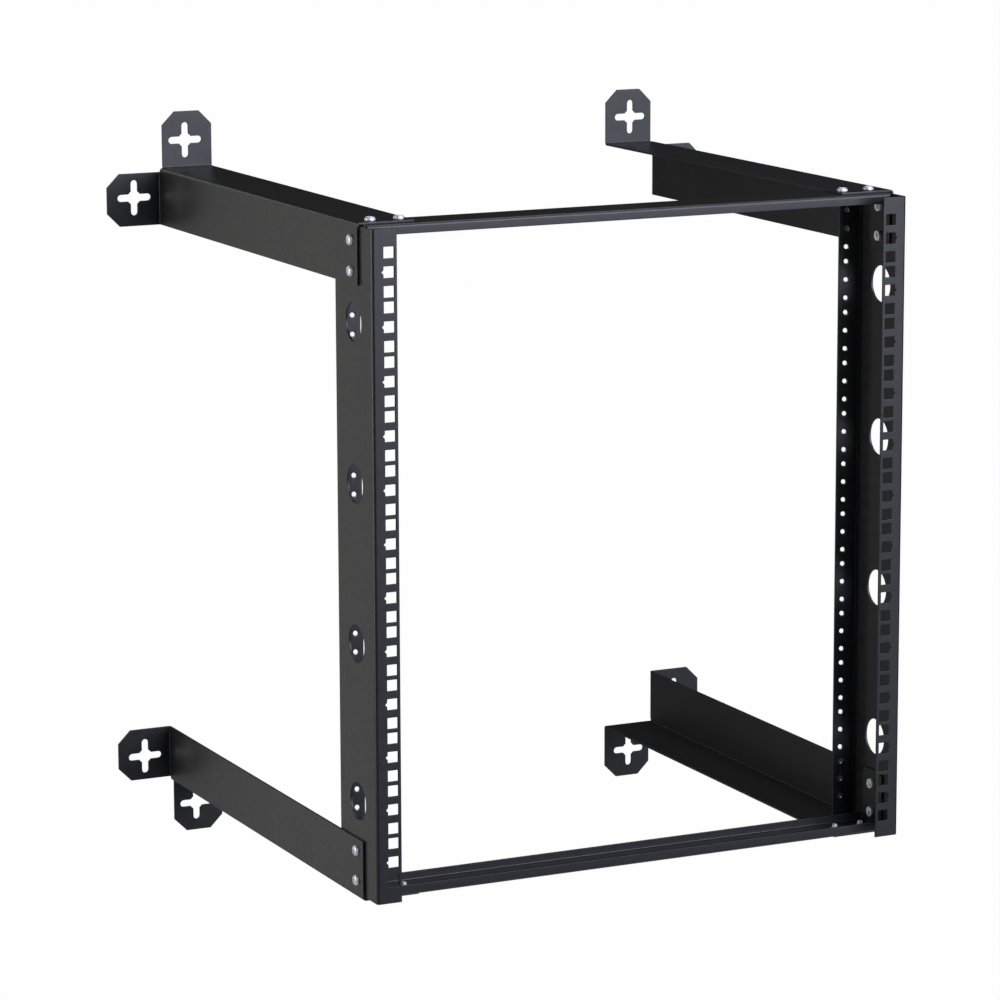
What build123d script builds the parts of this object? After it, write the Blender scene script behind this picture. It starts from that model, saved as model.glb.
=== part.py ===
"""Open-frame wall rack, 12 units high, for equipment with 19 inch front panels.

Two C-shaped uprights stand side by side with their square holes to the front and a row of
small round holes in their rear flanges. A shallow channel ties them together at the top and at
the bottom, and its ends are folded into tabs that lie inside the uprights. Four folded arms run
back from the corners to the wall, and each arm ends in two tabs folded outwards, with a
cross-shaped slot for the wall screw. Pan head screws hold arm, upright and rail together at each
corner, in round nuts at the uprights and in low nuts pressed into the rails.

X runs to the right as seen from the front, Y runs from the front face to the wall, Z is up.
Lengths are in millimetres. While the rack is modelled, X is zero midway between the uprights,
Y is zero on their front faces and Z is zero at mid height. The finished pieces are moved so
that the origin lies on the wall, at the middle of the top left tab's cross slot.
"""
from build123d import *
import os

# Rack standard: hole heights within one unit, and the distance between the hole columns
rack_units = 12
unit_height = 44.45
unit_hole_heights = (6.35, 22.225, 38.1)
column_spacing = 465.1

# Sheet steel
sheet = 1.9
inner_bend = 0.9

# Uprights
end_margin = 12.7
column_to_web = 15.1
upright_depth = 76.2
flange_width = 22.2
square_hole = 9.5
notch_depth = 1.8
notch_width = 3.6
rear_hole_diameter = 5.5
cable_hole_diameter = 31.75
units_between_cable_holes = 3

# Cross rails, and the tabs at their ends
rail_depth = 38.1
rail_lip = 8.7
rail_tab_length = 50.8
rail_tab_corner_cut = 4.0
bend_clearance = 0.1

# Arms and their wall tabs
arm_leg = 50.8
arm_front = 25.0
wall_plane = 468.0
tab_reach = 49.9
tab_relief = 3.6
tab_corner_cut = 12.0
slot_to_tab_end = 25.8
slot_to_free_edge = 25.4
slot_length = 31.75
slot_width = 6.35
slot_centre_diameter = 12.7

# Screws and nuts
screw_diameter = 4.8
screw_hole_clearance = 0.35
screw_spacing = 25.4
web_screw_from_end = 24.8
rail_screw_from_web = 28.15
screw_line = 38.1
head_diameter = 9.2
head_height = 2.7
head_edge = 1.6
screw_past_sheets = 4.2
web_nut_diameter = 8.8
web_nut_height = 3.0
rail_nut_diameter = 7.2
rail_nut_height = 1.0
nut_bore_clearance = 0.1

# Small round shapes that repeat are drawn with a few flat sides
round_sides = 12
slot_centre_sides = 24
shank_sides = 8

# Sizes that follow from the ones above
upright_height = rack_units * unit_height + 2 * end_margin
outer_bend = inner_bend + sheet
column = column_spacing / 2
web_outside = column + column_to_web
web_inside = web_outside - sheet
half_height = upright_height / 2
rail_outside = half_height + inner_bend + bend_clearance
rail_lip_end = web_inside - outer_bend
rail_tab_width = rail_depth - 2 * outer_bend
arm_side = web_outside + sheet
arm_face = rail_outside + sheet
slot_side = arm_side - slot_to_free_edge
slot_height = arm_face + tab_reach - slot_to_tab_end
web_screw_height = half_height - web_screw_from_end
rail_screw_side = web_outside - rail_screw_from_web
past = 2 * sheet
sheets_at_web = 3
sheets_at_rail = 2
hole_heights = [
    unit * unit_height + height - rack_units * unit_height / 2
    for unit in range(rack_units)
    for height in unit_hole_heights
]


def is_middle_hole(index):
    """The middle hole of each unit carries the locating notch."""
    return index % len(unit_hole_heights) == len(unit_hole_heights) // 2


def is_in_end_unit(index):
    """Whether a hole belongs to the top or the bottom unit."""
    return index // len(unit_hole_heights) in (0, rack_units - 1)


def angle_section(long_leg, short_leg):
    """An L-shaped section of folded sheet, its outer corner at the origin, legs along +X and +Y."""
    section = Pos(long_leg / 2, sheet / 2) * Rectangle(long_leg, sheet)
    section += Pos(sheet / 2, short_leg / 2) * Rectangle(sheet, short_leg)
    outer_corner = section.vertices().sort_by_distance(Vector(0, 0, 0))[0]
    section = fillet(outer_corner, outer_bend)
    inner_corner = section.vertices().sort_by_distance(Vector(sheet, sheet, 0))[0]
    return fillet(inner_corner, inner_bend)


def channel_section(width, lip):
    """A U-shaped section of folded sheet: its back on the X axis, both lips along +Y."""
    section = Pos(0, lip / 2) * Rectangle(width, lip)
    outer_corners = section.vertices().group_by(Axis.Y)[0]
    section = fillet(outer_corners, outer_bend)
    hollow = Pos(0, sheet + lip / 2) * Rectangle(width - 2 * sheet, lip)
    hollow = fillet(hollow.vertices().group_by(Axis.Y)[0], inner_bend)
    return section - hollow


def small_hole(radius):
    """Cuts a small round hole with a few flat sides through any sheet at the origin."""
    return extrude(RegularPolygon(radius, round_sides), amount=past, both=True)


def screw_hole(position, direction):
    """Cuts a clearance hole for a screw through any sheet at a place."""
    hole = small_hole(screw_diameter / 2 + screw_hole_clearance)
    return Plane(origin=position, z_dir=direction) * hole


def screw_places(middle):
    """The two places of a pair of screws on either side of its middle."""
    return (middle - screw_spacing / 2, middle + screw_spacing / 2)


def square_hole_tool(index):
    """Cuts one square hole, with the notch on its outer side where the hole is a middle one."""
    outline = Rectangle(square_hole, square_hole)
    if is_middle_hole(index):
        edge = square_hole / 2
        notch = Polygon(
            (-edge, notch_width / 2), (-edge - notch_depth, 0), (-edge, -notch_width / 2), align=None
        )
        outline += notch
    return extrude(Plane.XZ * outline, amount=past, both=True)


def rear_hole_tool(index):
    """Cuts one hole of a thread's outer size, fully round if it is an outer one of an end unit."""
    radius = rear_hole_diameter / 2
    if is_in_end_unit(index) and not is_middle_hole(index):
        return Cylinder(radius, 2 * past)
    return small_hole(radius)


def left_upright():
    """C-shaped upright: square holes in front, round ones behind, cable holes in the web."""
    section = Rot(0, 0, -90) * channel_section(upright_depth, flange_width)
    place = Pos(-web_outside, upright_depth / 2, -half_height)
    body = place * extrude(section, amount=upright_height)

    cuts = []
    for index, height in enumerate(hole_heights):
        cuts.append(Pos(-column, sheet / 2, height) * square_hole_tool(index))
        rear = Plane(origin=(-column, upright_depth - sheet / 2, height), z_dir=(0, 1, 0))
        cuts.append(rear * rear_hole_tool(index))

    cable_hole_pitch = units_between_cable_holes * unit_height
    cable_holes = rack_units // units_between_cable_holes
    first_cable_hole = -cable_hole_pitch * (cable_holes - 1) / 2
    for number in range(cable_holes):
        height = first_cable_hole + number * cable_hole_pitch
        web = Plane(origin=(-web_outside, upright_depth / 2, height), z_dir=(1, 0, 0))
        cuts.append(web * Cylinder(cable_hole_diameter / 2, 2 * past))

    for end in (-1, 1):
        for height in screw_places(web_screw_height):
            cuts.append(screw_hole((-web_outside, screw_line, end * height), (1, 0, 0)))
    return body - cuts


def rail_end_tab():
    """Tab folded down at the rail's right end, against the inside of the upright's web."""
    front = (upright_depth - rail_tab_width) / 2
    corner = Plane(origin=(web_inside, front, rail_outside), x_dir=(-1, 0, 0), z_dir=(0, -1, 0))
    tab = extrude(corner * angle_section(2 * outer_bend, rail_tab_length), amount=-rail_tab_width)
    lower_corners = tab.edges().filter_by(Axis.X).group_by(Axis.Z)[0]
    return chamfer(lower_corners, rail_tab_corner_cut)


def top_rail():
    """Shallow channel between the uprights, lips down, held under the arms' top legs."""
    start = Plane(origin=(0, upright_depth / 2, rail_outside), x_dir=(0, 1, 0), z_dir=(-1, 0, 0))
    bar = extrude(start * channel_section(rail_depth, rail_lip), amount=rail_lip_end, both=True)
    tab = rail_end_tab()
    bar += [tab, mirror(tab, about=Plane.YZ)]

    cuts = []
    for side in (-1, 1):
        for across in screw_places(rail_screw_side):
            cuts.append(screw_hole((side * across, screw_line, rail_outside), (0, 0, 1)))
        for height in screw_places(web_screw_height):
            cuts.append(screw_hole((side * web_inside, screw_line, height), (1, 0, 0)))
    return bar - cuts


def cross_slot(face):
    """Cross-shaped slot with a larger round middle, cut through a tab that lies in a plane."""
    end_radius = slot_width / 2
    reach = slot_length / 2 - end_radius
    shape = RegularPolygon(slot_centre_diameter / 2, slot_centre_sides)
    for turn in (0, 90):
        shape += Rot(0, 0, turn) * Rectangle(2 * reach, slot_width)
        for end in (-reach, reach):
            shape += Rot(0, 0, turn) * Pos(end, 0) * RegularPolygon(end_radius, round_sides)
    return extrude(face * shape, amount=past, both=True)


def folded_tab():
    """End of one leg with its tab folded up along +Z, its wall face at Y zero.

    The leg's outer face is at Z zero, X runs across it from its free edge.
    """
    run = 2 * outer_bend
    section = angle_section(run, sheet + tab_reach)
    outline = Plane(origin=(0, 0, -sheet), x_dir=(0, -1, 0), z_dir=(-1, 0, 0)) * section
    width = arm_leg - tab_relief
    tab = extrude(outline, amount=-width)
    corner_edges = tab.edges().filter_by(Axis.Y).group_by(Axis.Z)[-1]
    tab = chamfer(corner_edges, tab_corner_cut)
    slot_face = Plane(origin=(slot_to_free_edge, 0, tab_reach - slot_to_tab_end), z_dir=(0, 1, 0))
    return tab - cross_slot(slot_face)


def top_right_arm():
    """Folded angle from the upright's top corner to the wall, with a tab on each leg."""
    end = wall_plane - outer_bend
    section = angle_section(arm_leg, arm_leg)
    start = Plane(origin=(arm_side, arm_front, arm_face), x_dir=(-1, 0, 0), z_dir=(0, -1, 0))
    arm = extrude(start * section, amount=-(end - arm_front))

    top_tab = Pos(arm_side - arm_leg, wall_plane, arm_face) * folded_tab()
    diagonal = Plane(origin=(arm_side, wall_plane, arm_face), z_dir=(1, 0, -1))
    arm += [top_tab, mirror(top_tab, about=diagonal)]

    cuts = []
    for height in screw_places(web_screw_height):
        cuts.append(screw_hole((arm_side, screw_line, height), (1, 0, 0)))
    for across in screw_places(rail_screw_side):
        cuts.append(screw_hole((across, screw_line, arm_face), (0, 0, 1)))
    return arm - cuts


def screw(sheets):
    """Pan head screw along +Z through some sheets, the underside of its head at the origin."""
    head = extrude(RegularPolygon(head_diameter / 2, round_sides), amount=-head_height)
    head = chamfer(head.edges().group_by(Axis.Z)[0], head_edge)
    shank_length = sheets * sheet + screw_past_sheets
    return head + extrude(RegularPolygon(screw_diameter / 2, shank_sides), amount=shank_length)


def nut(sheets, diameter, height):
    """Nut for that screw, seated on the last of its sheets."""
    bore = RegularPolygon(screw_diameter / 2 + nut_bore_clearance, shank_sides)
    ring = RegularPolygon(diameter / 2, round_sides) - bore
    return Pos(0, 0, sheets * sheet) * extrude(ring, amount=height)


def web_pair(piece, side, level):
    """Two copies of a screw or nut through an arm's side leg, the upright's web and the rail's tab."""
    return [
        Plane(origin=(side * arm_side, screw_line, level * height), z_dir=(-side, 0, 0)) * piece
        for height in screw_places(web_screw_height)
    ]


def rail_pair(piece, side, level):
    """Two copies of a screw or nut through an arm's level leg and the rail."""
    return [
        Plane(origin=(side * across, screw_line, level * arm_face), z_dir=(0, 0, -level)) * piece
        for across in screw_places(rail_screw_side)
    ]


def rack():
    """All pieces by name, in the frame used while modelling."""
    upright = left_upright()
    rail = top_rail()
    arm = top_right_arm()
    lower_arm = mirror(arm, about=Plane.XY)
    pieces = {
        "left_upright": upright,
        "right_upright": mirror(upright, about=Plane.YZ),
        "top_rail": rail,
        "bottom_rail": mirror(rail, about=Plane.XY),
        "top_right_arm": arm,
        "top_left_arm": mirror(arm, about=Plane.YZ),
        "bottom_right_arm": lower_arm,
        "bottom_left_arm": mirror(lower_arm, about=Plane.YZ),
    }
    web_nut = nut(sheets_at_web, web_nut_diameter, web_nut_height)
    rail_nut = nut(sheets_at_rail, rail_nut_diameter, rail_nut_height)
    for level_name, level in (("top", 1), ("bottom", -1)):
        for side_name, side in (("left", -1), ("right", 1)):
            corner = level_name + "_" + side_name
            pieces[corner + "_web_screws"] = Compound(web_pair(screw(sheets_at_web), side, level))
            pieces[corner + "_web_nuts"] = Compound(web_pair(web_nut, side, level))
            pieces[corner + "_rail_screws"] = Compound(rail_pair(screw(sheets_at_rail), side, level))
            pieces[corner + "_rail_nuts"] = Compound(rail_pair(rail_nut, side, level))
    return pieces


os.makedirs("parts", exist_ok=True)
origin_on_wall = Pos(slot_side, -wall_plane, -slot_height)
for name, piece in rack().items():
    export_step(origin_on_wall * piece, f"parts/{name}.step")
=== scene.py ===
"""Looks of an open-frame wall rack: black powder coated sheet steel held by zinc plated screws.

Everything is in metres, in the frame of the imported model: the origin lies on the wall, +X runs to
the right seen from the front, +Y into the wall and +Z up.
"""
import math

import bmesh
import bpy
from mathutils import Matrix, Vector


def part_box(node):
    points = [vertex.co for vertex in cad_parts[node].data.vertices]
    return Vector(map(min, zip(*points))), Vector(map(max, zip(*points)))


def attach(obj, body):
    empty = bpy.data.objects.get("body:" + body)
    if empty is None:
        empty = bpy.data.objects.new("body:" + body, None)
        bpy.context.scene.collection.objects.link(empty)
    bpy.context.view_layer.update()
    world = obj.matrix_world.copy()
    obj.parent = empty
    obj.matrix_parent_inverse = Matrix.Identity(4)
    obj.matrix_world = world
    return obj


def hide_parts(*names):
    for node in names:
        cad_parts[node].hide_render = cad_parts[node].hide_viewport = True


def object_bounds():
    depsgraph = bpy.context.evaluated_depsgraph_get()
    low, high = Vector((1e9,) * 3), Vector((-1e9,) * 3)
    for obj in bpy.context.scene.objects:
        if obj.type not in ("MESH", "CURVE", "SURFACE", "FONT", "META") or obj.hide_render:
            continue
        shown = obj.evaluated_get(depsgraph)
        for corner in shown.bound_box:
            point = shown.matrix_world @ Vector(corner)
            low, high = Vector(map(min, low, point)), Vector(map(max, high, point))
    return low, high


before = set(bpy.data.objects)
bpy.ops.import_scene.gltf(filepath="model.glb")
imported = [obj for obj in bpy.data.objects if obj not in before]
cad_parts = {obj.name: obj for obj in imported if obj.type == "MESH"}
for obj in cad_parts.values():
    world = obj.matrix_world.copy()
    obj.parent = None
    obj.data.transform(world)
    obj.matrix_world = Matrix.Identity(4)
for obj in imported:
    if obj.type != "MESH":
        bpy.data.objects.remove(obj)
cad_low, cad_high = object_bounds()

MM = 0.001
X, Z = 0, 2

# Rounding that the thick coat leaves on the sheet's punched edges. Faces that meet at a greater
# angle in degrees make an edge, and points closer together than SAME_POINT are joined.
COATED_EDGE = 0.3 * MM
EDGE_ANGLE = 35.0
SAME_POINT = 0.002 * MM

# Shading goes by the faces' area alone, so that flats look flat up to their rounded edges
AREA_SHARE = 100

# Rack standard: hole heights in a unit, and the hole columns' distance from the uprights' webs
UNITS = 12
UNIT = 44.45 * MM
UNIT_HOLES = (6.35 * MM, 22.225 * MM, 38.1 * MM)
COLUMN_TO_WEB = 15.1 * MM
FLANGE = 1.9 * MM

# Number 10 machine screw with 32 threads to the inch and a pan head
SCREW_RADIUS = 2.4 * MM
SCREW_POINT = 0.7 * MM
THREAD_PITCH = 0.794 * MM
THREAD_DEPTH = 0.45 * MM
HEAD_RADIUS = 4.6 * MM
HEAD_HEIGHT = 2.7 * MM

# The head's straight side, in mm: how far each point stands inside the radius, and its height
HEAD_SIDE = ((0.12, 0.0), (0.0, -0.1), (0.0, -0.75), (0.12, -0.95))
DOME_START = -0.95 * MM
DOME_FLAT_RADIUS = 2.1 * MM
DOME_STEPS = 7
DOME_SHARE = 0.92

# The head's cross recess, in mm: depth from the outer end, reach of its arms, half their width
CROSS_RECESS = ((-0.3, 2.75, 0.66), (0.0, 2.6, 0.62), (1.5, 1.3, 0.45), (2.0, 0.55, 0.3))

# Round nuts at the uprights and low ones in the rails
WEB_NUT_RADIUS = 4.4 * MM
RAIL_NUT_RADIUS = 3.6 * MM
NUT_EDGE = 0.3 * MM
NUT_BORE_RADIUS = SCREW_RADIUS + 0.05 * MM
NUT_THREAD_DEPTH = 0.25 * MM
NUT_THREAD_START = 0.3 * MM

# Tapped holes of the rear flanges, 24 threads to the inch. The sleeve hides in the sheet.
TAPPED_SLEEVE_RADIUS = 2.85 * MM
TAPPED_ROOT_RADIUS = 2.62 * MM
TAPPED_PITCH = 1.058 * MM
TAPPED_DEPTH = 0.76 * MM
TAPPED_START = 0.25 * MM

# Points in a circle, and circles in one turn of a thread
ROUND = 32
STEPS_PER_TURN = 8

# Most of a noise texture's values lie between these two
NOISE_LOW = 0.3
NOISE_HIGH = 0.7

FLOOR_DROP = 1.8
FLOOR_REACH = 40.0
FLOOR_WHITE_SHARE = 0.99

# The white studio world's strength in what it lights, and in what the surfaces mirror
WORLD_LIGHT = 0.10
WORLD_GLOSSY = 0.03

# Each lamp's place from the middle of the rack, its size, its brightness and its tint.
# The front one lights the front faces and falls off down the uprights, the low one lifts the
# right upright's lower half, the rear left one is mirrored in the left sides of arms and upright,
# the left one lights the left bends, and the two top ones give the arms' tops a faint gloss.
SOFTBOXES = (
    ("front_softbox", (1.05, -2.85, 1.22), (3.0, 2.3), 7.2, "#e6ebff"),
    ("front_low_softbox", (2.00, -2.80, -0.70), (0.8, 0.9), 1.8, "#e6ebff"),
    ("rear_left_softbox", (-0.60, 0.55, 0.02), (0.40, 1.35), 0.60, "#fffaf6"),
    ("left_softbox", (-2.10, 0.25, 0.20), (1.0, 1.4), 5.5, "#f8faff"),
    ("rear_top_softbox", (-0.85, 2.66, 1.30), (1.0, 1.0), 0.9, "#ffffff"),
    ("top_softbox", (0.80, 0.00, 2.50), (1.4, 1.3), 2.8, "#ffffff"),
)

# The photograph's camera, fitted to the standard holes: its place, its axes and its lens in mm
CAMERA_PLACE = (-1.37400, -3.53833, 0.39932)
CAMERA_RIGHT = (0.90244, -0.43080, -0.00336)
CAMERA_DOWN = (-0.08448, -0.16932, -0.98193)
CAMERA_FORWARD = (0.42245, 0.88642, -0.18919)
CAMERA_LENS = 152.297
CAMERA_SENSOR = 36.0
CAMERA_REACH = 200.0


def linear(hex_colour):
    """An sRGB hex value as linear RGBA."""
    parts = [int(hex_colour[i:i + 2], 16) / 255 for i in (1, 3, 5)]
    return [c / 12.92 if c <= 0.04045 else ((c + 0.055) / 1.055) ** 2.4 for c in parts] + [1.0]


def per_metre(size):
    """A texture's scale for features of that size in metres."""
    return 1.0 / size


def add_node(tree, kind, inputs=None, **settings):
    """Adds a node, sets its attributes, and fills its inputs with values or other nodes' outputs."""
    made = tree.nodes.new(kind)
    for name, value in settings.items():
        setattr(made, name, value)
    for name, value in (inputs or {}).items():
        if isinstance(value, bpy.types.NodeSocket):
            tree.links.new(value, made.inputs[name])
        else:
            made.inputs[name].default_value = value
    return made


def new_material(name):
    """An empty node material with its output node."""
    material = bpy.data.materials.new(name)
    material.use_nodes = True
    tree = material.node_tree
    tree.nodes.clear()
    return material, tree, add_node(tree, "ShaderNodeOutputMaterial")


def powder_coat():
    """Satin black polyester powder coat, sprayed on as dry grains and baked.

    It gives a near black that is even from afar, with a fine grain of melted powder and a slow
    waviness in its gloss. The real grain is about 0.3 mm and is drawn 3 times as coarse to show.
    """
    material, tree, out = new_material("satin_black_powder_coat")
    place = add_node(tree, "ShaderNodeTexCoord").outputs["Object"]
    grain = add_node(tree, "ShaderNodeTexNoise", {
        "Vector": place, "Scale": per_metre(0.9 * MM), "Detail": 2.0, "Roughness": 0.6})
    flow = add_node(tree, "ShaderNodeTexNoise", {
        "Vector": place, "Scale": per_metre(6 * MM), "Detail": 1.0})
    cloud = add_node(tree, "ShaderNodeTexNoise", {
        "Vector": place, "Scale": per_metre(70 * MM), "Detail": 2.0})
    shade = add_node(tree, "ShaderNodeMix", {
        "Factor": cloud.outputs["Fac"], "A": linear("#101011"), "B": linear("#161617")},
        data_type="RGBA")
    speck = add_node(tree, "ShaderNodeMapRange", {
        "Value": grain.outputs["Fac"], "From Min": 0.35, "From Max": NOISE_HIGH,
        "To Min": 0.85, "To Max": 1.25})
    colour = add_node(tree, "ShaderNodeVectorMath", {
        0: shade.outputs["Result"], 1: speck.outputs["Result"]}, operation="MULTIPLY")
    gloss = add_node(tree, "ShaderNodeMapRange", {
        "Value": flow.outputs["Fac"], "From Min": NOISE_LOW, "From Max": NOISE_HIGH,
        "To Min": 0.37, "To Max": 0.42})
    waves = add_node(tree, "ShaderNodeBump", {
        "Height": flow.outputs["Fac"], "Strength": 0.25, "Distance": 0.06 * MM})
    bumps = add_node(tree, "ShaderNodeBump", {
        "Height": grain.outputs["Fac"], "Normal": waves.outputs["Normal"], "Strength": 0.35,
        "Distance": 0.06 * MM})
    surface = add_node(tree, "ShaderNodeBsdfPrincipled", {
        "Base Color": colour.outputs["Vector"], "Roughness": gloss.outputs["Result"],
        "Normal": bumps.outputs["Normal"], "IOR": 1.5})
    tree.links.new(surface.outputs["BSDF"], out.inputs["Surface"])
    return material


def zinc_plate():
    """Bright zinc plate with a clear passivation, laid on pressed steel in a barrel.

    It gives a cool, slightly bluish silver, a little cloudy, with fine dents from the barrel.
    """
    material, tree, out = new_material("bright_zinc_plated_steel")
    place = add_node(tree, "ShaderNodeTexCoord").outputs["Object"]
    cloud = add_node(tree, "ShaderNodeTexNoise", {
        "Vector": place, "Scale": per_metre(1.6 * MM), "Detail": 3.0})
    dents = add_node(tree, "ShaderNodeTexNoise", {
        "Vector": place, "Scale": per_metre(0.5 * MM), "Detail": 2.0})
    colour = add_node(tree, "ShaderNodeMix", {
        "Factor": cloud.outputs["Fac"], "A": linear("#cdd5dc"), "B": linear("#eff2f3")},
        data_type="RGBA")
    gloss = add_node(tree, "ShaderNodeMapRange", {
        "Value": cloud.outputs["Fac"], "From Min": NOISE_LOW, "From Max": NOISE_HIGH,
        "To Min": 0.45, "To Max": 0.56})
    bumps = add_node(tree, "ShaderNodeBump", {
        "Height": dents.outputs["Fac"], "Strength": 0.2, "Distance": 0.03 * MM})
    surface = add_node(tree, "ShaderNodeBsdfPrincipled", {
        "Base Color": colour.outputs["Result"], "Roughness": gloss.outputs["Result"],
        "Normal": bumps.outputs["Normal"], "Metallic": 0.75})
    tree.links.new(surface.outputs["BSDF"], out.inputs["Surface"])
    return material


def cut_steel():
    """Bare mild steel where the holes were tapped through the coating.

    It gives a darker grey metal than zinc, with rings left by the tap's edges 0.2 mm apart.
    """
    material, tree, out = new_material("tapped_mild_steel")
    place = add_node(tree, "ShaderNodeTexCoord").outputs["Object"]
    rings = add_node(tree, "ShaderNodeTexWave", {
        "Vector": place, "Scale": per_metre(0.6 * MM), "Distortion": 1.5},
        wave_type="BANDS", bands_direction="Y")
    colour = add_node(tree, "ShaderNodeMix", {
        "Factor": rings.outputs["Fac"], "A": linear("#6a6b6d"), "B": linear("#8c8e91")},
        data_type="RGBA")
    bumps = add_node(tree, "ShaderNodeBump", {
        "Height": rings.outputs["Fac"], "Strength": 0.15, "Distance": 0.02 * MM})
    surface = add_node(tree, "ShaderNodeBsdfPrincipled", {
        "Base Color": colour.outputs["Result"], "Normal": bumps.outputs["Normal"],
        "Metallic": 1.0, "Roughness": 0.38})
    tree.links.new(surface.outputs["BSDF"], out.inputs["Surface"])
    return material


def studio_floor_paint():
    """Matt white floor paint, rolled on. The camera sees it nearly white, with the soft shadow."""
    material, tree, out = new_material("matt_white_floor_paint")
    place = add_node(tree, "ShaderNodeTexCoord").outputs["Object"]
    rolled = add_node(tree, "ShaderNodeTexNoise", {"Vector": place, "Scale": per_metre(4 * MM)})
    bumps = add_node(tree, "ShaderNodeBump", {
        "Height": rolled.outputs["Fac"], "Strength": 0.05, "Distance": 0.1 * MM})
    paint = add_node(tree, "ShaderNodeBsdfDiffuse", {
        "Color": linear("#e0e0e0"), "Normal": bumps.outputs["Normal"]})
    white = add_node(tree, "ShaderNodeEmission", {"Color": linear("#ffffff"), "Strength": 1.0})
    path = add_node(tree, "ShaderNodeLightPath")
    share = add_node(tree, "ShaderNodeMath", {
        0: path.outputs["Is Camera Ray"], 1: FLOOR_WHITE_SHARE}, operation="MULTIPLY")
    mixed = add_node(tree, "ShaderNodeMixShader", {
        "Fac": share.outputs["Value"], 1: paint.outputs["BSDF"], 2: white.outputs["Emission"]})
    tree.links.new(mixed.outputs["Shader"], out.inputs["Surface"])
    return material


def ring(bm, radius, height):
    """A circle of points round the Z axis. The radius may be a function of the share of a turn."""
    points = []
    for step in range(ROUND):
        turn = step / ROUND
        reach = radius(turn) if callable(radius) else radius
        angle = 2 * math.pi * turn
        points.append(bm.verts.new((reach * math.cos(angle), reach * math.sin(angle), height)))
    return points


def skin(bm, rows):
    """Faces between rows of points that each close on themselves."""
    for row, following in zip(rows, rows[1:]):
        count = len(row)
        for step in range(count):
            after = (step + 1) % count
            bm.faces.new((row[step], row[after], following[after], following[step]))


def closed_skin(bm, rows):
    """The same with a face over each end."""
    skin(bm, rows)
    bm.faces.new(list(reversed(rows[0])))
    bm.faces.new(rows[-1])


def to_mesh(name, bm):
    """A mesh from the finished points and faces, with outward normals, smooth over shallow edges."""
    bmesh.ops.recalc_face_normals(bm, faces=bm.faces)
    mesh = bpy.data.meshes.new(name)
    bm.to_mesh(mesh)
    bm.free()
    for face in mesh.polygons:
        face.use_smooth = True
    mesh.set_sharp_from_angle(angle=math.radians(EDGE_ANGLE))
    return mesh


def turned(name, profile):
    """A solid of revolution through (radius, height) points."""
    bm = bmesh.new()
    closed_skin(bm, [ring(bm, radius, height) for radius, height in profile])
    return to_mesh(name, bm)


def thread_rows(bm, root, depth, pitch, low, high, start):
    """Rows of a thread that grows to its full depth over a start at each end.

    A negative depth points it inwards, for a nut or a tapped hole.
    """
    steps = math.ceil((high - low) / pitch * STEPS_PER_TURN)
    rows = []
    for step in range(steps + 1):
        height = low + (high - low) * step / steps
        fade = min(1.0, min(height - low, high - height) / start)

        def reach(turn, height=height, fade=fade):
            phase = (height / pitch - turn) % 1.0
            crest = 1 - abs(2 * phase - 1)
            return root + depth * crest * fade

        rows.append(ring(bm, reach, height))
    return rows


def cross_recess_cutter():
    """The tapered cross that a driver fits in, point up, cut from the head's outer end."""
    bm = bmesh.new()
    rows = []
    for depth, reach, half in CROSS_RECESS:
        outline = [(reach, -half), (reach, half), (half, half), (half, reach), (-half, reach),
                   (-half, half), (-reach, half), (-reach, -half), (-half, -half), (-half, -reach),
                   (half, -reach), (half, -half)]
        height = depth * MM - HEAD_HEIGHT
        rows.append([bm.verts.new((x * MM, y * MM, height)) for x, y in outline])
    closed_skin(bm, rows)
    return to_mesh("recess_cutter", bm)


def cut(mesh, cutter):
    """The mesh with the cutter taken out of it."""
    body = bpy.data.objects.new("cut_body", mesh)
    tool = bpy.data.objects.new("cut_tool", cutter)
    for made in (body, tool):
        bpy.context.scene.collection.objects.link(made)
    modifier = body.modifiers.new("cut", "BOOLEAN")
    modifier.operation = "DIFFERENCE"
    modifier.solver = "EXACT"
    modifier.object = tool
    graph = bpy.context.evaluated_depsgraph_get()
    result = bpy.data.meshes.new_from_object(body.evaluated_get(graph))
    for made in (body, tool):
        bpy.data.objects.remove(made)
    return result


def screw_mesh(length):
    """Pan head screw along +Z, the underside of its head at the origin."""
    profile = [(HEAD_RADIUS - inside * MM, height * MM) for inside, height in HEAD_SIDE]
    dome_radius = profile[-1][0] - DOME_FLAT_RADIUS
    dome_height = HEAD_HEIGHT + DOME_START
    dome_end = math.pi / 2 * DOME_SHARE
    for step in range(1, DOME_STEPS + 1):
        angle = dome_end * step / DOME_STEPS
        radius = DOME_FLAT_RADIUS + dome_radius * math.cos(angle)
        height = DOME_START - dome_height * math.sin(angle) / math.sin(dome_end)
        profile.append((radius, height))
    head = cut(turned("head", profile), cross_recess_cutter())
    bm = bmesh.new()
    bm.from_mesh(head)
    root = SCREW_RADIUS - THREAD_DEPTH
    closed_skin(bm, thread_rows(bm, root, THREAD_DEPTH, THREAD_PITCH, 0.0, length, SCREW_POINT))
    return to_mesh("screw", bm)


def nut_mesh(reach, height):
    """Round nut along +Z with chamfered rims and a threaded bore, one end at the origin."""
    mouth = NUT_BORE_RADIUS + NUT_EDGE
    bm = bmesh.new()
    outside = [ring(bm, radius, level) for radius, level in (
        (mouth, 0.0), (reach - NUT_EDGE, 0.0), (reach, NUT_EDGE), (reach, height - NUT_EDGE),
        (reach - NUT_EDGE, height), (mouth, height))]
    inside = thread_rows(
        bm, NUT_BORE_RADIUS, -NUT_THREAD_DEPTH, THREAD_PITCH, 0.0, height, NUT_THREAD_START)
    skin(bm, outside + list(reversed(inside)) + [outside[0]])
    return to_mesh("nut", bm)


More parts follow.
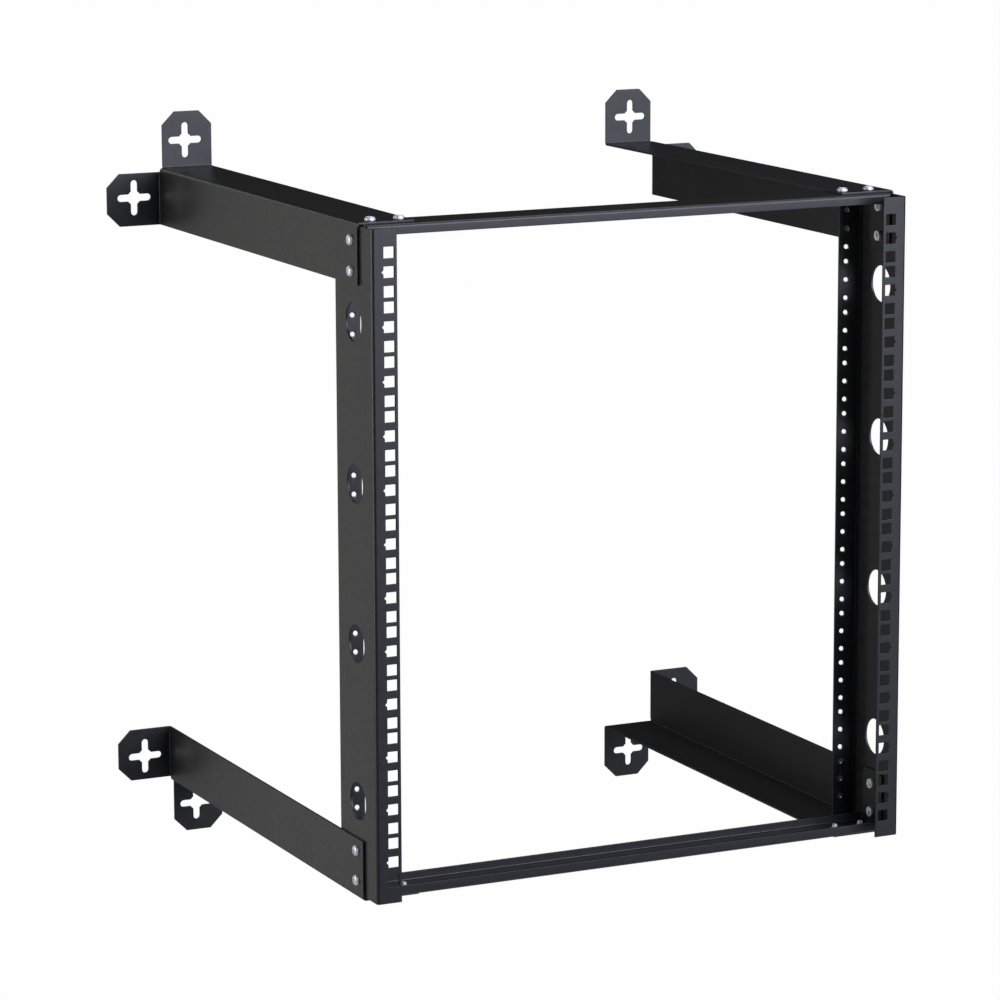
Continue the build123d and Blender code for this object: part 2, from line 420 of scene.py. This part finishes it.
def tapped_thread_mesh(thickness):
    """Thread of one tapped hole along +Z through a flange, starting below its rounded rims."""
    low, high = COATED_EDGE, thickness - COATED_EDGE
    bm = bmesh.new()
    inside = thread_rows(
        bm, TAPPED_ROOT_RADIUS, -TAPPED_DEPTH, TAPPED_PITCH, low, high, TAPPED_START)
    outside = [ring(bm, TAPPED_SLEEVE_RADIUS, high), ring(bm, TAPPED_SLEEVE_RADIUS, low)]
    skin(bm, inside + outside + [inside[0]])
    return to_mesh("tapped_thread", bm)


def along(direction, origin):
    """Places a piece made along +Z so that it runs along a direction from an origin."""
    turn = Vector((0, 0, 1)).rotation_difference(Vector(direction))
    return Matrix.Translation(origin) @ turn.to_matrix().to_4x4()


def piece(name, mesh, places, material, slot, *nodes):
    """One object holding a copy of the mesh at each place, riding on the rack's only body."""
    bm = bmesh.new()
    for place in places:
        copy = mesh.copy()
        copy.transform(place)
        bm.from_mesh(copy)
        bpy.data.meshes.remove(copy)
    made = bpy.data.objects.new(name, to_mesh(name, bm))
    made.data.materials.append(material)
    bpy.context.scene.collection.objects.link(made)
    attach(made, "root")
    if nodes:
        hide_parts(*nodes)
    return made


def coat_sheet(node, material):
    """Coats a CAD node, rounds its sharp edges as the melted powder does, and shades flats flat."""
    node.data.materials.clear()
    node.data.materials.append(material)
    for face in node.data.polygons:
        face.material_index = 0
        face.use_smooth = True
    weld = node.modifiers.new("joined_facets", "WELD")
    weld.merge_threshold = SAME_POINT
    edges = node.modifiers.new("coated_edges", "BEVEL")
    edges.width = COATED_EDGE
    edges.segments = 2
    edges.limit_method = "ANGLE"
    edges.angle_limit = math.radians(EDGE_ANGLE)
    edges.use_clamp_overlap = False
    flats = node.modifiers.new("flat_sheet_shading", "WEIGHTED_NORMAL")
    flats.mode = "FACE_AREA"
    flats.weight = AREA_SHARE


def pair_places(node, axis, direction, radius, seat):
    """Where the two fasteners of a CAD node go: apart along one axis, both in one direction."""
    low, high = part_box(node)
    places = []
    for spot in (low[axis] + radius, high[axis] - radius):
        origin = (low + high) / 2
        origin[axis] = spot
        along_axis = [abs(part) for part in direction].index(1)
        start = low[along_axis] if direction[along_axis] > 0 else high[along_axis]
        origin[along_axis] = start + direction[along_axis] * seat
        places.append(along(direction, origin))
    return places


def rear_hole_places(upright, side):
    """The centre of each tapped hole on the flange's inner face, along +Y."""
    low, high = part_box(upright)
    across = low.x + COLUMN_TO_WEB if side < 0 else high.x - COLUMN_TO_WEB
    first = (low.z + high.z) / 2 - UNITS * UNIT / 2
    return [
        along((0, 1, 0), (across, high.y - FLANGE, first + unit * UNIT + hole))
        for unit in range(UNITS)
        for hole in UNIT_HOLES
    ]


def fasteners(material):
    """Detailed screws and nuts in the places of the plain ones, two of each at every joint."""
    joints = (("web", Z, X, WEB_NUT_RADIUS), ("rail", X, Z, RAIL_NUT_RADIUS))
    for joint, apart, along_axis, nut_reach in joints:
        low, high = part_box(f"top_left_{joint}_screws")
        screw = screw_mesh(high[along_axis] - low[along_axis] - HEAD_HEIGHT)
        low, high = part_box(f"top_left_{joint}_nuts")
        nut = nut_mesh(nut_reach, high[along_axis] - low[along_axis])
        for level_name, level in (("top", 1), ("bottom", -1)):
            for side_name, side in (("left", -1), ("right", 1)):
                direction = (-side, 0, 0) if joint == "web" else (0, 0, -level)
                corner = f"{level_name}_{side_name}_{joint}"
                node = corner + "_screws"
                places = pair_places(node, apart, direction, HEAD_RADIUS, HEAD_HEIGHT)
                piece(f"{corner}_pan_head_screws", screw, places, material, "zinc_hardware", node)
                node = corner + "_nuts"
                places = pair_places(node, apart, direction, nut_reach, 0.0)
                piece(f"{corner}_round_nuts", nut, places, material, "zinc_hardware", node)


def studio_floor():
    """Pale floor below the rack, which hangs on its wall above it."""
    bm = bmesh.new()
    level = cad_low.z - FLOOR_DROP
    corners = ((-1, -1), (1, -1), (1, 1), (-1, 1))
    bm.faces.new([bm.verts.new((x * FLOOR_REACH, y * FLOOR_REACH, level)) for x, y in corners])
    made = bpy.data.objects.new("studio_floor", to_mesh("studio_floor", bm))
    made.data.materials.append(studio_floor_paint())
    bpy.context.scene.collection.objects.link(made)


def softbox(name, place, size, brightness, colour):
    """A soft lamp that faces the middle of the rack, of equal brightness at any size."""
    middle = (cad_low + cad_high) / 2
    lamp = bpy.data.lights.new(name, "AREA")
    lamp.shape = "RECTANGLE"
    lamp.size, lamp.size_y = size
    lamp.energy = brightness * math.pi * lamp.size * lamp.size_y
    lamp.color = linear(colour)[:3]
    made = bpy.data.objects.new(name, lamp)
    made.location = middle + Vector(place)
    made.rotation_euler = (-Vector(place)).to_track_quat("-Z", "Y").to_euler()
    made.visible_camera = False
    bpy.context.scene.collection.objects.link(made)


def studio_world(light, glossy):
    """White to the camera. It lights the rack at one plain level and is mirrored at another."""
    world = bpy.data.worlds.new("white_studio")
    world.use_nodes = True
    bpy.context.scene.world = world
    tree = world.node_tree
    tree.nodes.clear()
    path = add_node(tree, "ShaderNodeLightPath")
    seen = add_node(tree, "ShaderNodeMath", {
        0: path.outputs["Is Camera Ray"], 1: path.outputs["Is Transmission Ray"]}, operation="MAXIMUM")
    base = add_node(tree, "ShaderNodeMapRange", {
        "Value": path.outputs["Is Glossy Ray"], "To Min": light, "To Max": glossy})
    strength = add_node(tree, "ShaderNodeMapRange", {
        "Value": seen.outputs["Value"], "To Min": base.outputs["Result"], "To Max": 1.0})
    white = add_node(tree, "ShaderNodeBackground", {
        "Color": linear("#ffffff"), "Strength": strength.outputs["Result"]})
    out = add_node(tree, "ShaderNodeOutputWorld")
    tree.links.new(white.outputs["Background"], out.inputs["Surface"])


def photo_camera():
    """The camera at the photograph's place, with its aim and lens."""
    camera = bpy.data.cameras.new("photo_camera")
    camera.sensor_width = CAMERA_SENSOR
    camera.lens = CAMERA_LENS
    camera.clip_end = CAMERA_REACH
    made = bpy.data.objects.new("photo_camera", camera)
    axes = (Vector(CAMERA_RIGHT), -Vector(CAMERA_DOWN), -Vector(CAMERA_FORWARD))
    made.matrix_world = Matrix.Translation(CAMERA_PLACE) @ Matrix(axes).transposed().to_4x4()
    bpy.context.scene.collection.objects.link(made)
    bpy.context.scene.camera = made


coat = powder_coat()
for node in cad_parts.values():
    coat_sheet(node, coat)
fasteners(zinc_plate())
thread = tapped_thread_mesh(FLANGE)
tapped = cut_steel()
for side_name, side in (("left", -1), ("right", 1)):
    places = rear_hole_places(side_name + "_upright", side)
    piece(side_name + "_rear_hole_threads", thread, places, tapped, "zinc_hardware")

studio_floor()
studio_world(WORLD_LIGHT, WORLD_GLOSSY)
for settings in SOFTBOXES:
    softbox(*settings)
photo_camera()
bpy.context.scene.view_settings.view_transform = "Standard"
